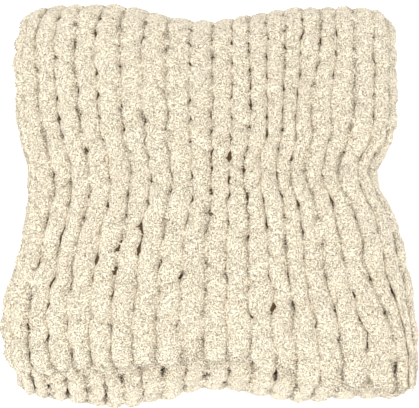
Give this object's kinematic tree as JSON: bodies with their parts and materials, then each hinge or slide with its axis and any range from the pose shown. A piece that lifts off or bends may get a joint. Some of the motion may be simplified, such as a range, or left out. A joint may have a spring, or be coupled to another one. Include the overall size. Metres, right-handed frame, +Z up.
{
  "type": "folded chunky knit blanket",
  "caption": "Thick hand-knitted chenille throw, folded in thirds across and back and forth lengthwise into a soft square bundle drawn in at the middle of its sides.",
  "frame": {"origin": "on the surface that the blanket lies on, under the middle of its box", "axes": "+Z up through the folded layers, -Y towards the front, where the cast-off end and one row of folds lie, +X to the right seen from the front"},
  "size_m": [0.4246, 0.4252, 0.2098],
  "materials": {
    "chenille_yarn": "matt cream chenille pile"
  },
  "bodies": {
    "root": {"blanket": "chenille_yarn"}
  },
  "joints": []
}
